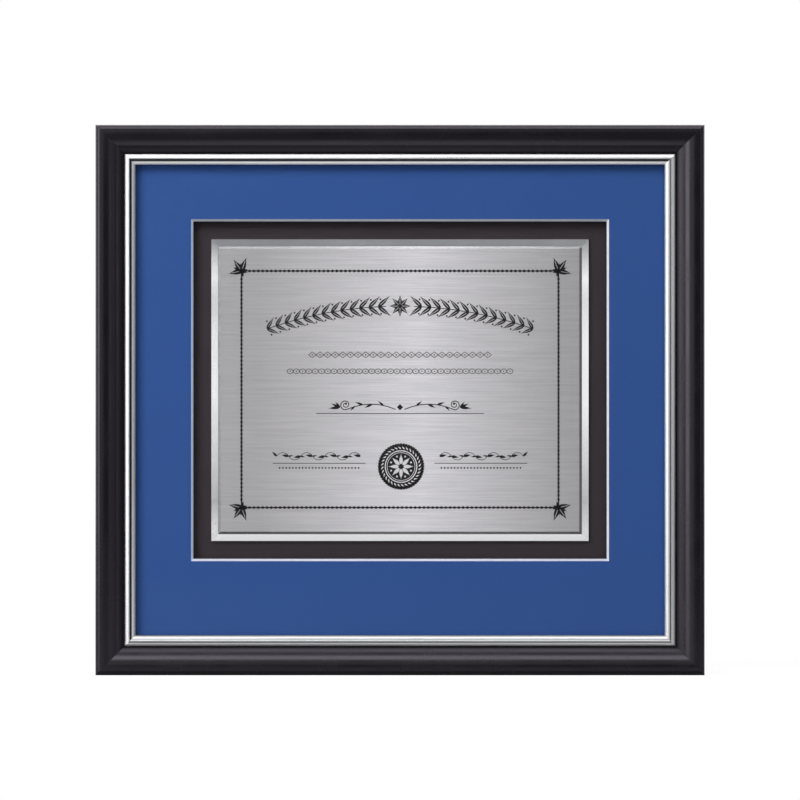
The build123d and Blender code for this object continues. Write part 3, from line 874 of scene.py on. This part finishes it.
world = bpy.data.worlds.new("studio")
bpy.context.scene.world = world
world.use_nodes = True
tree = world.node_tree
dim = tree.nodes["Background"]
dim.inputs["Color"].default_value = (0.93, 0.96, 1.0, 1.0)
white = tree.nodes.new("ShaderNodeBackground")
white.inputs["Color"].default_value = (1, 1, 1, 1)
white.inputs["Strength"].default_value = 1.0
ray = tree.nodes.new("ShaderNodeLightPath")
where = tree.nodes.new("ShaderNodeTexCoord")
parts = tree.nodes.new("ShaderNodeSeparateXYZ")
tree.links.new(where.outputs["Generated"], parts.inputs["Vector"])
tree.links.new(span(tree, parts.outputs["Y"], 0.05, 0.30, -0.970, -0.880), dim.inputs["Strength"])
behind = span(tree, parts.outputs["Y"], 0.0, 1.0, 0.02, 0.12)
mirrored = worked(tree, "MAXIMUM", ray.outputs["Is Glossy Ray"], ray.outputs["Is Transmission Ray"])
backdrop = worked(tree, "MULTIPLY", mirrored, behind)
shown = worked(tree, "MAXIMUM", ray.outputs["Is Camera Ray"], backdrop)
pick = tree.nodes.new("ShaderNodeMixShader")
tree.links.new(shown, pick.inputs["Fac"])
tree.links.new(dim.outputs["Background"], pick.inputs[1])
tree.links.new(white.outputs["Background"], pick.inputs[2])
tree.links.new(pick.outputs["Shader"], tree.nodes["World Output"].inputs["Surface"])

middle = Vector((0, 0, middle_height))


def softbox(name, left, up, distance, width, height, glow):
    """An area lamp aimed at the object's middle, this far off; glow is its brightness.

    Seen from the object it stands at these angles, in degrees, left of the front and above it.
    """
    lamp = bpy.data.lights.new(name, "AREA")
    lamp.shape = "RECTANGLE"
    lamp.size = width
    lamp.size_y = height
    lamp.energy = glow * math.pi * width * height
    lamp_object = bpy.data.objects.new(name, lamp)
    bpy.context.collection.objects.link(lamp_object)
    a, b = math.radians(left), math.radians(up)
    towards = Vector((-math.sin(a) * math.cos(b), -math.cos(a) * math.cos(b), math.sin(b)))
    lamp_object.location = middle + towards * distance
    lamp_object.rotation_euler = (-towards).to_track_quat("-Z", "Y").to_euler()
    lamp_object.visible_camera = False


softbox("key_softbox", 45, 40, 2.0, 0.8, 0.8, 9.7)
softbox("left_softbox", 48, 0, 2.4, 1.0, 2.2, 3.2)
softbox("left_side_softbox", 78, 0, 2.4, 0.5, 2.2, 2.0)
softbox("top_softbox", 0, 51, 2.4, 2.2, 1.0, 2.9)
softbox("top_near_softbox", 0, 18, 2.6, 1.6, 0.8, 0.40)
softbox("top_side_softbox", 0, 84, 2.4, 2.0, 0.9, 1.6)
softbox("right_softbox", -52, 0, 2.6, 0.9, 2.0, 0.28)
softbox("left_strip", 33.5, 0, 2.6, 0.35, 1.6, 0.56)
softbox("left_near_softbox", 17, 0, 2.6, 0.8, 1.6, 0.74)
softbox("right_strip", -33.5, 0, 2.6, 0.35, 1.6, 0.75)
softbox("left_rim_softbox", 128, 0, 2.4, 1.0, 2.2, 1.6)
softbox("right_rim_softbox", -112, 8, 2.4, 0.8, 2.0, 0.6)
softbox("top_rim_softbox", 0, 124, 2.4, 2.0, 0.9, 1.6)
softbox("rear_softbox", 165, 32, 2.6, 2.2, 1.6, 1.6)

camera_distance = 5.0
view_width = 0.5349
camera_data = bpy.data.cameras.new("camera")
camera_data.sensor_width = 36.0
camera_data.lens = camera_data.sensor_width * camera_distance / view_width
camera = bpy.data.objects.new("camera", camera_data)
bpy.context.collection.objects.link(camera)
camera.location = middle + Vector((0, -camera_distance, 0))
camera.rotation_euler = (math.radians(90), 0, 0)
bpy.context.scene.camera = camera
bpy.context.scene.view_settings.view_transform = "Standard"
